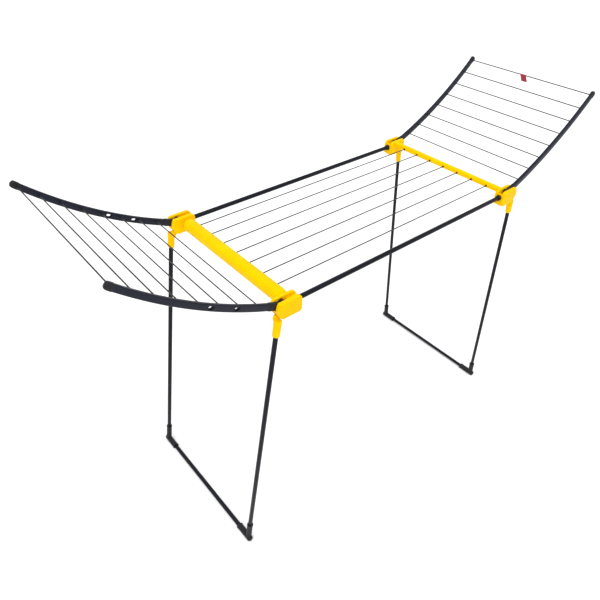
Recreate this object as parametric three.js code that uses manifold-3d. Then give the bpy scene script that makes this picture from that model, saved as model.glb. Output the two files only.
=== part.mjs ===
// Free-standing clothes airer: a wired bed between two tubular side rails, a
// curved wired wing hinged at each end, and two leg frames that fold under the bed.
//
// Millimetres, +Z up. X runs along the bed, from the near end (-X) to the far end
// (+X). Y runs across it, with the front rail at -Y. The feet stand on Z = 0.
//
// The four corners are mirror images of one another, so a corner piece is drawn once,
// at the far end (+X) on the back side (+Y), and its group mirrors it into place.
import * as THREE from 'three';
import { mergeVertices } from 'three/addons/utils/BufferGeometryUtils.js';
import Module from 'manifold-3d';

const wasm = await Module();
wasm.setup();

// ---- driving dimensions -------------------------------------------------------
const GAP = 0.3; // clearance between pieces that touch
const CUT = 20; // how far a cutting body runs past the face that it opens

// bed
const RAIL_Y = 270; // side rails, measured from the middle of the bed
const RAIL_Z = 995;
const RAIL_RADIUS = 7.5;
const RAIL_END_X = 488; // the rail ends inside its knuckle's socket
const BED_WIRES = 7;
const BED_WIRE_PITCH = 66;
const BED_WIRE_Z = RAIL_Z + 11;
const WIRE_RADIUS = 1.5;
const WIRE_DIP = 8; // how far a bed wire reaches into the housing and the crossbar

// corner knuckle
const KNUCKLE_INNER_Y = 250;
const KNUCKLE_OUTER_Y = 290;
const KNUCKLE_BOTTOM_Z = 964;
const KNUCKLE_TOP_Z = 1019;
const KNUCKLE_ARC_Z = 996; // centre of the big arc on the wing side
const KNUCKLE_ARC_RADIUS = 38;
const KNUCKLE_EDGE = 2.5; // rounding of the cheeks' edges
const SLOT_WIDTH = 16; // between the cheeks, centred on the rail

// The bed side of a knuckle and the centre of its big arc, along X. The far pair stands a
// little further out.
const KNUCKLES = {
  near: { bedX: 456, arcX: 501.5 },
  far: { bedX: 476, arcX: 517.5 },
};

// cross members
const HOUSING_X = -489;
const HOUSING_RADIUS = 22.3;
const HOUSING_DOME = 24; // length of each domed end
const DOME_STEPS = 4;
const CROSSBAR_X = 505;
const CROSSBAR_Z = 1009;
const CROSSBAR_WIDTH = 19;
const CROSSBAR_HEIGHT = 18;
const CROSSBAR_BEVEL = 5; // chamfer along the bar's upper edges
const BUSH_RADIUS = 10.3;
const BUSH_LENGTH = 12;

// wings
const WING_WIRES = 8;
const WING_WIRE_PITCH = 61.7;
const WING_FIRST_X = 588; // innermost wing wire
const WING_FIRST_Z = 1031;
const WING_START_ANGLE = THREE.MathUtils.degToRad(23.6); // slope at the innermost wire
const WING_CURVE_RADIUS = 1341;
const WING_ROOT = -80; // arm's ends, measured along it from the innermost wire
const WING_TIP = (WING_WIRES - 1) * WING_WIRE_PITCH + 15;
const ARM_WIDTH = 12;
const ARM_ROOT_HEIGHT = 21.5;
const ARM_TIP_HEIGHT = 17.5;
const ARM_SINK = 4.5; // how far the arm's middle lies below the wires at its root
const ARM_EDGE = 3; // rounding of the arm's long edges
const ARM_STEPS = 15;
const TIP_STEPS = 5; // flats around the arm's rounded tip
const WIRE_SEAT = 4; // how far a wing wire reaches into an arm
const WING_PIVOT_X = 512;
const WING_PIVOT_Z = 1008;
const WING_EYE_RADIUS = 8;
const WING_PIN_RADIUS = 4;
const SLOT_PLACES = [75, 158]; // hanger slots through the near arms, from the innermost wire
const SLOT_LENGTH = 15;
const SLOT_HEIGHT = 7;

// legs
const LEG_PIVOT_X = 512;
const LEG_PIVOT_Z = 971;
const LEG_PIN_RADIUS = 3;
const LEG_EYE_RADIUS = 9.5;
const LEG_LUG_WIDTH = 15;
const SLEEVE_TOP = 11.5; // below the pivot, measured along the leg
const SLEEVE_LENGTH = 53;
const SLEEVE_TAPER = 1.1; // how much the radius loses from top to mouth
const SLEEVE_WALL_END = 16; // solid plastic above the leg tube's socket
const FOOT_RADIUS = 11;
const FOOT_BAR_Z = 10.6; // a little under the radius, so each foot stands on a flat
const FOOT_SLEEVE_IN = 56;
const FOOT_TOE = 17;
const TOE_STEPS = 3;

// Each frame's legs run a little outside their pivots. The near frame folds up flat just
// under the rails; the far frame's offset is larger, so it folds up below the near one.
// The radius is that of the legs and the floor bar, the sleeve's is taken at its top, and
// the riser is how far a foot reaches up the leg.
const LEGS = {
  near: {
    y: 281,
    lean: THREE.MathUtils.degToRad(7.95),
    offset: 20.5,
    radius: 7.6,
    sleeve: 12,
    riser: 72,
  },
  far: {
    y: 275,
    lean: THREE.MathUtils.degToRad(5.1),
    offset: 43.5,
    radius: 6.75,
    sleeve: 11,
    riser: 60,
  },
};

const TAG = { y: 20, width: 24, drop: 27, thickness: 1.2 };

// ---- materials ------------------------------------------------------------------
const finish = (color, roughness, metalness) =>
  new THREE.MeshStandardMaterial({ color, roughness, metalness });
const YELLOW_PLASTIC = finish(0xffd500, 0.42, 0);
const BLACK_TUBE = finish(0x2a2c38, 0.38, 0.35);
const BLACK_PLASTIC = finish(0x24252d, 0.5, 0);
const WIRE_STEEL = finish(0x9a9a95, 0.3, 0.9);
const PIN_STEEL = finish(0xb4b6ba, 0.3, 1);
const RED_TAG = finish(0xb4202e, 0.7, 0);

// ---- solid helpers ----------------------------------------------------------------
function toSolid(geometry) {
  const bare = geometry.clone();
  bare.deleteAttribute('normal');
  bare.deleteAttribute('uv');
  const merged = mergeVertices(bare, 1e-4);
  return new wasm.Manifold(
    new wasm.Mesh({
      numProp: 3,
      vertProperties: new Float32Array(merged.attributes.position.array),
      triVerts: new Uint32Array(merged.index.array),
    }),
  );
}

function toGeometry(solid) {
  const mesh = solid.getMesh();
  const geometry = new THREE.BufferGeometry();
  geometry.setAttribute('position', new THREE.BufferAttribute(mesh.vertProperties, 3));
  geometry.setIndex(new THREE.BufferAttribute(mesh.triVerts, 1));
  return geometry;
}

const join = (...geometries) =>
  toGeometry(geometries.map(toSolid).reduce((sum, solid) => sum.add(solid)));

const cut = (geometry, ...cutters) =>
  toGeometry(cutters.map(toSolid).reduce((rest, solid) => rest.subtract(solid), toSolid(geometry)));

// A round bar from one point to another, tapering if the radii differ.
function bar(from, to, radius, segments = 16, endRadius = radius) {
  const along = to.clone().sub(from);
  const geometry = new THREE.CylinderGeometry(endRadius, radius, along.length(), segments);
  const turn = new THREE.Quaternion().setFromUnitVectors(
    new THREE.Vector3(0, 1, 0),
    along.clone().normalize(),
  );
  geometry.applyQuaternion(turn);
  return geometry.translate(...from.clone().add(to).multiplyScalar(0.5));
}

const point = (x, y, z) => new THREE.Vector3(x, y, z);

function block(xRange, yRange, zRange) {
  const [size, centre] = [[], []];
  for (const [low, high] of [xRange, yRange, zRange]) {
    size.push(high - low);
    centre.push((high + low) / 2);
  }
  return new THREE.BoxGeometry(...size).translate(...centre);
}

// A plate cut to a side outline in X and Z, running across Y, with rounded edges.
function sidePlate(outline, yLow, yHigh, edge, curveSegments = 8) {
  const geometry = new THREE.ExtrudeGeometry(outline, {
    depth: yHigh - yLow - 2 * edge,
    bevelEnabled: edge > 0,
    bevelThickness: edge,
    bevelSize: edge,
    bevelOffset: -edge,
    bevelSegments: 1,
    curveSegments,
  });
  return geometry.rotateX(Math.PI / 2).translate(0, yHigh - edge, 0);
}

// ---- bed ------------------------------------------------------------------------
function sideRail() {
  return bar(
    point(-RAIL_END_X, RAIL_Y, RAIL_Z),
    point(RAIL_END_X, RAIL_Y, RAIL_Z),
    RAIL_RADIUS,
    16,
  );
}

function bedWireY(index) {
  return (index - (BED_WIRES - 1) / 2) * BED_WIRE_PITCH;
}

const HOUSING_FACE_X =
  HOUSING_X + Math.sqrt(HOUSING_RADIUS ** 2 - (BED_WIRE_Z - RAIL_Z) ** 2);
const CROSSBAR_FACE_X = CROSSBAR_X - CROSSBAR_WIDTH / 2;

function bedWire(index) {
  const y = bedWireY(index);
  return bar(
    point(HOUSING_FACE_X - WIRE_DIP, y, BED_WIRE_Z),
    point(CROSSBAR_FACE_X + WIRE_DIP, y, BED_WIRE_Z),
    WIRE_RADIUS,
    8,
  );
}

// Holes for the bed wires, centred on the face where they go in.
function bedWireHoles(faceX) {
  return Array.from({ length: BED_WIRES }, (_, index) =>
    bar(
      point(faceX - WIRE_DIP - 1, bedWireY(index), BED_WIRE_Z),
      point(faceX + WIRE_DIP + 1, bedWireY(index), BED_WIRE_Z),
      WIRE_RADIUS + GAP,
      8,
    ),
  );
}

// A round tube with elliptical ends that meet the knuckles' inner cheeks on a small flat.
function lineHousing() {
  const end = KNUCKLE_INNER_Y - GAP;
  const flatAngle = Math.acos(1 / 2); // the flat has half the tube's radius
  const dome = Array.from({ length: DOME_STEPS + 1 }, (_, i) => {
    const angle = (flatAngle * i) / DOME_STEPS;
    const along = (HOUSING_DOME * Math.sin(angle)) / Math.sin(flatAngle);
    return new THREE.Vector2(HOUSING_RADIUS * Math.cos(angle), end - HOUSING_DOME + along);
  });
  const lowerDome = dome.map(({ x, y }) => new THREE.Vector2(x, -y)).reverse();
  const outline = [new THREE.Vector2(0, -end), ...lowerDome, ...dome, new THREE.Vector2(0, end)];
  const tube = new THREE.LatheGeometry(outline, 24).translate(HOUSING_X, 0, RAIL_Z);
  return cut(tube, ...bedWireHoles(HOUSING_FACE_X));
}

// A slim bar with chamfered upper edges, resting its ends on the inner cheeks.
function farCrossbar() {
  const [w, h] = [CROSSBAR_WIDTH / 2, CROSSBAR_HEIGHT / 2];
  const soft = 1.5; // small chamfer along the lower edges
  const section = new THREE.Shape();
  section.moveTo(-w, -h + soft);
  section.lineTo(-w + soft, -h);
  section.lineTo(w - soft, -h);
  section.lineTo(w, -h + soft);
  section.lineTo(w, h - CROSSBAR_BEVEL);
  section.lineTo(w - CROSSBAR_BEVEL, h);
  section.lineTo(-w + CROSSBAR_BEVEL, h);
  section.lineTo(-w, h - CROSSBAR_BEVEL);
  section.closePath();
  const reach = KNUCKLE_INNER_Y - GAP;
  const body = sidePlate(section, -reach, reach, 0).translate(CROSSBAR_X, 0, CROSSBAR_Z);
  return cut(body, ...bedWireHoles(CROSSBAR_FACE_X));
}

// The black ring around the rail where it enters a far knuckle.
function railBush() {
  const { bedX } = KNUCKLES.far;
  const tube = bar(
    point(bedX - GAP - BUSH_LENGTH, RAIL_Y, RAIL_Z),
    point(bedX - GAP, RAIL_Y, RAIL_Z),
    BUSH_RADIUS - 1,
    16,
    BUSH_RADIUS,
  );
  const bore = bar(
    point(bedX - CUT - BUSH_LENGTH, RAIL_Y, RAIL_Z),
    point(bedX + CUT, RAIL_Y, RAIL_Z),
    RAIL_RADIUS + GAP,
    16,
  );
  return cut(tube, bore);
}

// ---- knuckle -----------------------------------------------------------------------
// Two cheeks joined by a web. The side outline is straight along the bottom and the bed
// side, and ends in one big arc on the wing side.
function knuckleOutline({ bedX, arcX }) {
  const corner = 11;
  const topCorner = 18; // the top corner on the bed side is the softer one
  const reach = KNUCKLE_ARC_RADIUS;
  const topAngle = Math.asin((KNUCKLE_TOP_Z - KNUCKLE_ARC_Z) / reach);
  const lowAngle = Math.asin((KNUCKLE_BOTTOM_Z - KNUCKLE_ARC_Z) / reach);
  const outline = new THREE.Shape();
  outline.moveTo(bedX + corner, KNUCKLE_BOTTOM_Z);
  outline.absarc(arcX, KNUCKLE_ARC_Z, reach, lowAngle, topAngle, false);
  outline.lineTo(bedX + topCorner, KNUCKLE_TOP_Z);
  outline.quadraticCurveTo(bedX, KNUCKLE_TOP_Z, bedX, KNUCKLE_TOP_Z - topCorner);
  outline.lineTo(bedX, KNUCKLE_BOTTOM_Z + corner);
  outline.quadraticCurveTo(bedX, KNUCKLE_BOTTOM_Z, bedX + corner, KNUCKLE_BOTTOM_Z);
  return outline;
}

// The slot for the wing arm: open above and on the wing side. Its floor carries the
// rail's socket on the bed side, drops clear of the arm's root, and rises again to the
// shelf that the lowered arm rests on.
function armSlot({ bedX, arcX }) {
  const shelf = new THREE.Shape();
  const past = arcX + KNUCKLE_ARC_RADIUS + CUT;
  const above = KNUCKLE_TOP_Z + CUT;
  shelf.moveTo(bedX - CUT, above);
  shelf.lineTo(bedX - CUT, RAIL_Z + RAIL_RADIUS + 5.5);
  shelf.lineTo(RAIL_END_X + 4, RAIL_Z + RAIL_RADIUS + 2.5);
  shelf.lineTo(RAIL_END_X + 9, LEG_PIVOT_Z + 14.5);
  shelf.lineTo(WING_PIVOT_X + 20, LEG_PIVOT_Z + 14.5);
  const [low, high] = [armPoint(-56), armPoint(-20)].map((place) => armEdge(place, -1));
  shelf.lineTo(low.x, low.y - 1);
  shelf.lineTo(high.x, high.y - 1);
  shelf.lineTo(past, high.y + 10);
  shelf.lineTo(past, above);
  shelf.closePath();
  return sidePlate(shelf, RAIL_Y - SLOT_WIDTH / 2, RAIL_Y + SLOT_WIDTH / 2, 0);
}

// The pocket for the leg's lug: open below and on the wing side.
function legPocket({ arcX }) {
  return block(
    [LEG_PIVOT_X - LEG_EYE_RADIUS - 2, arcX + KNUCKLE_ARC_RADIUS + CUT],
    [RAIL_Y - SLOT_WIDTH / 2, RAIL_Y + SLOT_WIDTH / 2],
    [KNUCKLE_BOTTOM_Z - CUT, LEG_PIVOT_Z + LEG_EYE_RADIUS + 2],
  );
}

const PIN_INNER_Y = KNUCKLE_INNER_Y + 0.5;
const PIN_OUTER_Y = KNUCKLE_OUTER_Y - 4;

// A pin goes in from the inner cheek and ends blind in the outer one.
function pinBar(x, z, radius, segments, inner, outer) {
  return bar(point(x, inner, z), point(x, outer, z), radius, segments);
}

function knuckle(places) {
  const outline = knuckleOutline(places);
  const body = sidePlate(outline, KNUCKLE_INNER_Y, KNUCKLE_OUTER_Y, KNUCKLE_EDGE);
  const socket = bar(
    point(places.bedX - CUT, RAIL_Y, RAIL_Z),
    point(RAIL_END_X + 1, RAIL_Y, RAIL_Z),
    RAIL_RADIUS + GAP,
    16,
  );
  const inner = KNUCKLE_INNER_Y - CUT;
  const outer = PIN_OUTER_Y + GAP;
  return cut(
    body,
    armSlot(places),
    legPocket(places),
    socket,
    pinBar(WING_PIVOT_X, WING_PIVOT_Z, WING_PIN_RADIUS + GAP, 12, inner, outer),
    pinBar(LEG_PIVOT_X, LEG_PIVOT_Z, LEG_PIN_RADIUS + GAP, 12, inner, outer),
  );
}

// ---- wings ------------------------------------------------------------------------
// The wires of a wing lie on an arc that steepens outward. A place on it is measured
// along the arc from the innermost wire. The arm follows it, sinking towards its root.
function armPoint(place) {
  const angle = WING_START_ANGLE + place / WING_CURVE_RADIUS;
  const x =
    WING_FIRST_X + WING_CURVE_RADIUS * (Math.sin(angle) - Math.sin(WING_START_ANGLE));
  const z =
    WING_FIRST_Z + WING_CURVE_RADIUS * (Math.cos(WING_START_ANGLE) - Math.cos(angle));
  const share = (place - WING_ROOT) / (WING_TIP - WING_ROOT);
  const height = THREE.MathUtils.lerp(ARM_ROOT_HEIGHT, ARM_TIP_HEIGHT, share);
  const sink = THREE.MathUtils.lerp(ARM_SINK, 0, share);
  return { x, z, angle, height, sink };
}

// The point on the arm's upper (+1) or lower (-1) edge, or on its middle (0), beside a
// point on the line of wires.
function armEdge({ x, z, angle, height, sink }, side) {
  const up = (side * height) / 2 - sink;
  return new THREE.Vector2(x - up * Math.sin(angle), z + up * Math.cos(angle));
}

function armOutline() {
  const tipPlace = WING_TIP - ARM_TIP_HEIGHT / 2;
  const places = Array.from({ length: ARM_STEPS + 1 }, (_, i) =>
    armPoint(WING_ROOT + ((tipPlace - WING_ROOT) * i) / ARM_STEPS),
  );
  const tip = places.pop();
  const centre = armEdge(tip, 0);
  const roundTip = Array.from({ length: TIP_STEPS + 1 }, (_, i) => {
    const angle = tip.angle + Math.PI * (i / TIP_STEPS - 0.5);
    const reach = new THREE.Vector2(Math.cos(angle), Math.sin(angle));
    return reach.multiplyScalar(tip.height / 2).add(centre);
  });
  return new THREE.Shape([
    ...places.map((place) => armEdge(place, -1)),
    ...roundTip,
    ...places.map((place) => armEdge(place, 1)).reverse(),
  ]);
}

// A short round-ended slot through the arm from side to side, for a coat hanger's hook.
function slotHole(place) {
  const { angle } = place;
  const { x, y } = armEdge(place, 0);
  const radius = SLOT_HEIGHT / 2;
  const half = SLOT_LENGTH / 2 - radius;
  const [dx, dy] = [half * Math.cos(angle), half * Math.sin(angle)];
  const outline = new THREE.Shape();
  outline.absarc(x + dx, y + dy, radius, angle + Math.PI / 2, angle - Math.PI / 2, true);
  outline.absarc(x - dx, y - dy, radius, angle - Math.PI / 2, angle - (3 * Math.PI) / 2, true);
  outline.closePath();
  return sidePlate(outline, RAIL_Y - ARM_WIDTH, RAIL_Y + ARM_WIDTH, 0, 5);
}

const ARM_INNER_Y = RAIL_Y - ARM_WIDTH / 2;

function wingWireHole(index) {
  const { x, z } = armPoint(index * WING_WIRE_PITCH);
  return bar(
    point(x, ARM_INNER_Y - CUT, z),
    point(x, ARM_INNER_Y + WIRE_SEAT + GAP, z),
    WIRE_RADIUS + GAP,
    8,
  );
}

function wingArm(slotted) {
  const outer = RAIL_Y + ARM_WIDTH / 2;
  const blade = sidePlate(armOutline(), ARM_INNER_Y, outer, ARM_EDGE);
  const eye = pinBar(
    WING_PIVOT_X,
    WING_PIVOT_Z,
    WING_EYE_RADIUS,
    16,
    RAIL_Y - SLOT_WIDTH / 2 + 1,
    RAIL_Y + SLOT_WIDTH / 2 - 1,
  );
  const bore = pinBar(
    WING_PIVOT_X,
    WING_PIVOT_Z,
    WING_PIN_RADIUS + GAP,
    12,
    KNUCKLE_INNER_Y - CUT,
    KNUCKLE_OUTER_Y + CUT,
  );
  const holes = Array.from({ length: WING_WIRES }, (_, index) => wingWireHole(index));
  const slots = SLOT_PLACES.map((place) => slotHole(armPoint(place)));
  return cut(join(blade, eye), bore, ...holes, ...(slotted ? slots : []));
}

function wingWire(index) {
  const { x, z } = armPoint(index * WING_WIRE_PITCH);
  const reach = ARM_INNER_Y + WIRE_SEAT;
  return bar(point(x, -reach, z), point(x, reach, z), WIRE_RADIUS, 8);
}

// A folded label that hangs from the outermost wire of the far wing.
function wireTag() {
  const { x, z } = armPoint((WING_WIRES - 1) * WING_WIRE_PITCH);
  const half = TAG.thickness / 2 + WIRE_RADIUS + GAP;
  const outer = block(
    [x - half, x + half],
    [TAG.y - TAG.width / 2, TAG.y + TAG.width / 2],
    [z - TAG.drop, z + half],
  );
  const inner = WIRE_RADIUS + GAP;
  const opening = block(
    [x - inner, x + inner],
    [TAG.y - TAG.width, TAG.y + TAG.width],
    [z - TAG.drop + 2 * TAG.thickness, z + inner],
  );
  return cut(outer, opening);
}

// ---- legs ---------------------------------------------------------------------------
// A place on a leg, measured down along it from beside the pivot, and across from it.
function legPoint({ y, lean, offset }, down, across = offset) {
  return point(
    LEG_PIVOT_X + across * Math.cos(lean) + down * Math.sin(lean),
    y,
    LEG_PIVOT_Z + across * Math.sin(lean) - down * Math.cos(lean),
  );
}

// How far down the leg the floor bar's axis lies.
function legLength({ lean, offset }) {
  return (LEG_PIVOT_Z + offset * Math.sin(lean) - FOOT_BAR_Z) / Math.cos(lean);
}

// A tapered plastic sleeve on the leg's top, with the lug that the leg hangs from. The lug
// is cranked, so that it clears the knuckle's lower edge when the leg is folded.
function legSleeve(leg) {
  const top = legPoint(leg, SLEEVE_TOP);
  const mouth = legPoint(leg, SLEEVE_TOP + SLEEVE_LENGTH);
  const sleeve = bar(top, mouth, leg.sleeve, 16, leg.sleeve - SLEEVE_TAPER);
  const [low, high] = [RAIL_Y - LEG_LUG_WIDTH / 2, RAIL_Y + LEG_LUG_WIDTH / 2];
  const eye = pinBar(LEG_PIVOT_X, LEG_PIVOT_Z, LEG_EYE_RADIUS, 16, low, high);
  const lug = new THREE.Shape(
    [
      [8.9, -3],
      [11, 10.5],
      [SLEEVE_TOP + 8, leg.offset - 8],
      [SLEEVE_TOP + 14, leg.offset + 2],
      [SLEEVE_TOP + 2, leg.offset + 5],
      [3, leg.offset + 2],
      [-1, 9.4],
    ].map(([down, across]) => {
      const place = legPoint(leg, down, across);
      return new THREE.Vector2(place.x, place.z);
    }),
  );
  const bore = pinBar(
    LEG_PIVOT_X,
    LEG_PIVOT_Z,
    LEG_PIN_RADIUS + GAP,
    12,
    KNUCKLE_INNER_Y - CUT,
    KNUCKLE_OUTER_Y + CUT,
  );
  const socket = bar(
    legPoint(leg, SLEEVE_TOP + SLEEVE_WALL_END - GAP),
    legPoint(leg, SLEEVE_TOP + SLEEVE_LENGTH + CUT),
    leg.radius + GAP,
    16,
  );
  return cut(join(sleeve, eye, sidePlate(lug, low, high, 0)), bore, socket);
}

function legTube(leg) {
  const top = legPoint(leg, SLEEVE_TOP + SLEEVE_WALL_END);
  const bottom = legPoint(leg, legLength(leg) - FOOT_RADIUS);
  return bar(top, bottom, leg.radius, 16);
}

// A round-ended socket along the floor bar's axis, closed at the outer end.
function toeBody({ y }, axis) {
  const inner = y - FOOT_SLEEVE_IN;
  const straight = y + FOOT_TOE - FOOT_RADIUS * 0.7;
  const profile = [new THREE.Vector2(0, inner), new THREE.Vector2(FOOT_RADIUS, inner)];
  for (let i = 0; i <= TOE_STEPS; i++) {
    const angle = (Math.PI / 2) * (i / TOE_STEPS);
    const radius = i === TOE_STEPS ? 0 : FOOT_RADIUS * Math.cos(angle);
    profile.push(
      new THREE.Vector2(radius, straight + (y + FOOT_TOE - straight) * Math.sin(angle)),
    );
  }
  return new THREE.LatheGeometry(profile, 16).translate(axis.x, 0, axis.z);
}

// A corner fitting: one sleeve up the leg and one along the floor bar, with a flat sole.
function foot(leg) {
  const axis = legPoint(leg, legLength(leg));
  const riser = bar(
    axis,
    legPoint(leg, legLength(leg) - leg.riser),
    FOOT_RADIUS,
    16,
    FOOT_RADIUS - 0.8,
  );
  const legSocket = bar(
    legPoint(leg, legLength(leg) - FOOT_RADIUS + GAP),
    legPoint(leg, legLength(leg) - leg.riser - CUT),
    leg.radius + GAP,
    16,
  );
  const barSocket = bar(
    point(axis.x, leg.y - FOOT_RADIUS - 2 + GAP, axis.z),
    point(axis.x, leg.y - FOOT_SLEEVE_IN - CUT, axis.z),
    leg.radius + GAP,
    16,
  );
  const ground = block(
    [axis.x - 2 * CUT, axis.x + 2 * CUT],
    [leg.y - FOOT_SLEEVE_IN - CUT, leg.y + FOOT_TOE + CUT],
    [-CUT, 0],
  );
  return cut(join(toeBody(leg, axis), riser), legSocket, barSocket, ground);
}

function floorBar(leg) {
  const { x, z } = legPoint(leg, legLength(leg));
  const reach = leg.y - FOOT_RADIUS - 2;
  return bar(point(x, -reach, z), point(x, reach, z), leg.radius, 16);
}

// ---- assembly -------------------------------------------------------------------------
const airer = new THREE.Group();

function add(name, geometry, material, parent = airer) {
  const mesh = new THREE.Mesh(geometry, material);
  mesh.name = name;
  parent.add(mesh);
}

// A group that mirrors far-end, back-side shapes to the end and side asked for.
function mirrored(xSign, ySign) {
  const group = new THREE.Group();
  group.scale.set(xSign, ySign, 1);
  airer.add(group);
  return group;
}

const SIDES = { front: -1, back: 1 };
const ENDS = { near: -1, far: 1 };

add('line_housing', lineHousing(), YELLOW_PLASTIC);
add('far_crossbar', farCrossbar(), YELLOW_PLASTIC);
for (let index = 0; index < BED_WIRES; index++) {
  add(`bed_wire_${index + 1}`, bedWire(index), WIRE_STEEL);
}
for (const [side, ySign] of Object.entries(SIDES)) {
  add(`${side}_rail`, sideRail(), BLACK_TUBE, mirrored(1, ySign));
  add(`${side}_rail_bush`, railBush(), BLACK_PLASTIC, mirrored(1, ySign));
}

for (const [end, xSign] of Object.entries(ENDS)) {
  const leg = LEGS[end];
  for (const [side, ySign] of Object.entries(SIDES)) {
    const corner = mirrored(xSign, ySign);
    const name = (piece) => `${end}_${side}_${piece}`;
    add(name('knuckle'), knuckle(KNUCKLES[end]), YELLOW_PLASTIC, corner);
    add(
      name('wing_pin'),
      pinBar(WING_PIVOT_X, WING_PIVOT_Z, WING_PIN_RADIUS, 12, PIN_INNER_Y, PIN_OUTER_Y),
      PIN_STEEL,
      corner,
    );
    add(
      name('leg_pin'),
      pinBar(LEG_PIVOT_X, LEG_PIVOT_Z, LEG_PIN_RADIUS, 12, PIN_INNER_Y, PIN_OUTER_Y),
      PIN_STEEL,
      corner,
    );
    add(name('wing_arm'), wingArm(end === 'near'), BLACK_TUBE, corner);
    add(name('leg_sleeve'), legSleeve(leg), YELLOW_PLASTIC, corner);
    add(name('leg_tube'), legTube(leg), BLACK_TUBE, corner);
    add(name('foot'), foot(leg), BLACK_PLASTIC, corner);
  }
  const endGroup = mirrored(xSign, 1);
  add(`${end}_floor_bar`, floorBar(leg), BLACK_TUBE, endGroup);
  for (let index = 0; index < WING_WIRES; index++) {
    add(`${end}_wing_wire_${index + 1}`, wingWire(index), WIRE_STEEL, endGroup);
  }
}
add('wire_tag', wireTag(), RED_TAG);

export default airer;
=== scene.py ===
# The looks of a free-standing clothes airer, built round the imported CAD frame.
# Sizes of pieces are in millimetres, in the frame's axes: +X from the near wing to the far
# wing, +Y from the front rail to the back rail, +Z up. Materials, floor and lights use
# metres. Corner pieces are drawn at the far end on the back side and mirrored from there:
# one drawing for all four corners, or one for each end where the ends differ.
import math

import bmesh
import bpy
from mathutils import Matrix, Vector


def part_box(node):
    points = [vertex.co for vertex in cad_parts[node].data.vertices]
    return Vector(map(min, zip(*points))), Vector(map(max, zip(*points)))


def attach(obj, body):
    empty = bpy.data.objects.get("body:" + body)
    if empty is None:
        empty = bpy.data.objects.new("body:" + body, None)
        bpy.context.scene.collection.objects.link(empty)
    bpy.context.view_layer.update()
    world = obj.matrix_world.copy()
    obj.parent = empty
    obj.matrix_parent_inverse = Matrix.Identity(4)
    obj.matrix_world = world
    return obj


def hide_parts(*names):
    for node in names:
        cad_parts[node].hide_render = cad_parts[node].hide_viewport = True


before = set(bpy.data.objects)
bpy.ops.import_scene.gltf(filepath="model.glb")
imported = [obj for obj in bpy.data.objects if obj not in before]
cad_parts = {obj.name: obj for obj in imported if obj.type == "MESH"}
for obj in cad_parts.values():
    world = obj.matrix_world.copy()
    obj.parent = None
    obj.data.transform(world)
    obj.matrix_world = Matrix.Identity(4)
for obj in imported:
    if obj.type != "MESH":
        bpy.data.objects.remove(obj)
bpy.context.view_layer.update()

MM = 0.001
MERGE = 1e-7  # metres; points closer than this are one point
SMOOTH_ANGLE = math.radians(38)
ENDS = {"near": -1, "far": 1}
SIDES = {"front": -1, "back": 1}


# ---- measures taken from the frame --------------------------------------------------
def box(node):
    low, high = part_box(node)
    return low / MM, high / MM


def middle(node):
    low, high = box(node)
    return (low + high) / 2


def extent(node):
    low, high = box(node)
    return high - low


def numbered(prefix):
    """The CAD nodes whose names are the prefix and a number, in order."""
    found = [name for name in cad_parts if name.rpartition("_")[0] == prefix]
    return sorted(found, key=lambda name: int(name.rpartition("_")[2]))


BED_WIRES = numbered("bed_wire")
RAIL = middle("back_rail")
RAIL_RADIUS = extent("back_rail").z / 2
WIRE_COAT = 0.3  # over the steel's radius
WIRE_RADIUS = extent(BED_WIRES[0]).z / 2 + WIRE_COAT
WING_PIVOT = middle("far_back_wing_pin")
LEG_PIVOT = middle("far_back_leg_pin")
WING_PIN_RADIUS = extent("far_back_wing_pin").z / 2
LEG_PIN_RADIUS = extent("far_back_leg_pin").z / 2
PINS = {
    "wing_pin": (WING_PIVOT, WING_PIN_RADIUS),
    "leg_pin": (LEG_PIVOT, LEG_PIN_RADIUS),
}

# ---- sizes that the frame's boxes don't give --------------------------------------------
BORE_GAP = 0.3  # play between a bar and its bore, on the radius
CUT = 20  # how far a cutting body runs past the face that it opens

ROUND_STEPS = 4  # steps in a quarter of a round edge
TUBE_SIDES = 40
HOUSING_SIDES = 96
PIN_SIDES = 28
LUG_BORE_SIDES = 24
WIRE_SIDES = 14
HOLE_SIDES = 16
GROMMET_SIDES = 24

RAIL_END_EDGE = 0.8
TUBE_END_EDGE = 0.6
WIRE_END_EDGE = 0.4
PIN_END_EDGE = 0.9
PIN_END_GAP = 0.1  # the pins end just under the skin of the cheek on the bed's side

KNUCKLE_ARC_RADIUS = 38
KNUCKLE_ARC_TOP = 23  # the arc's centre lies this far below the knuckle's top
KNUCKLE_ARC_STEPS = 28
KNUCKLE_CORNER = 11
KNUCKLE_TOP_CORNER = 16
CHEEK_EDGE = 2.5
BED_CHEEK_EDGE = 4.5  # the cheek on the bed's side is rounded more
CHEEK_INNER_EDGE = 0.9
NOSE_CORNER = 2  # rounding where the arc meets the top and the bottom
SLOT_HALF = 8  # half the room between the cheeks
RAIL_SOCKET_END = 489  # its place along X
SOCKET_END_WALL = 2.5  # plastic over the rail at the end of its socket
SOCKET_MOUTH_WALL = 5.5  # and at the socket's mouth
SOCKET_SLOPE_START = 3  # the slope behind the socket, from the socket's end
SOCKET_SLOPE_END = 8

WEB_MARGIN = 0.8  # how far the web stays inside the cheeks' outline
WEB_OVERLAP = 1.5  # how far it runs into each cheek
POCKET_GAP = 2  # room round the leg's eye
SLOT_FLOOR = 14.5  # height of the slot's floor over the leg's pivot
RAMP_START = 20  # where the floor starts to rise, from the wing's pivot
SHELF_GAP = 1  # room between the shelf and the resting arm
SHELF_SHORTEST = 3

DOME_LENGTH = 24
DOME_STEPS = 14
DOME_FLAT = math.acos(0.5)  # the dome ends in a flat disc of half the housing's radius
WIRE_HOLE_DEPTH = 8.5
HOUSING_FACE = 8  # the middle of the housing's cut holes, from the wires' near ends

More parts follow.
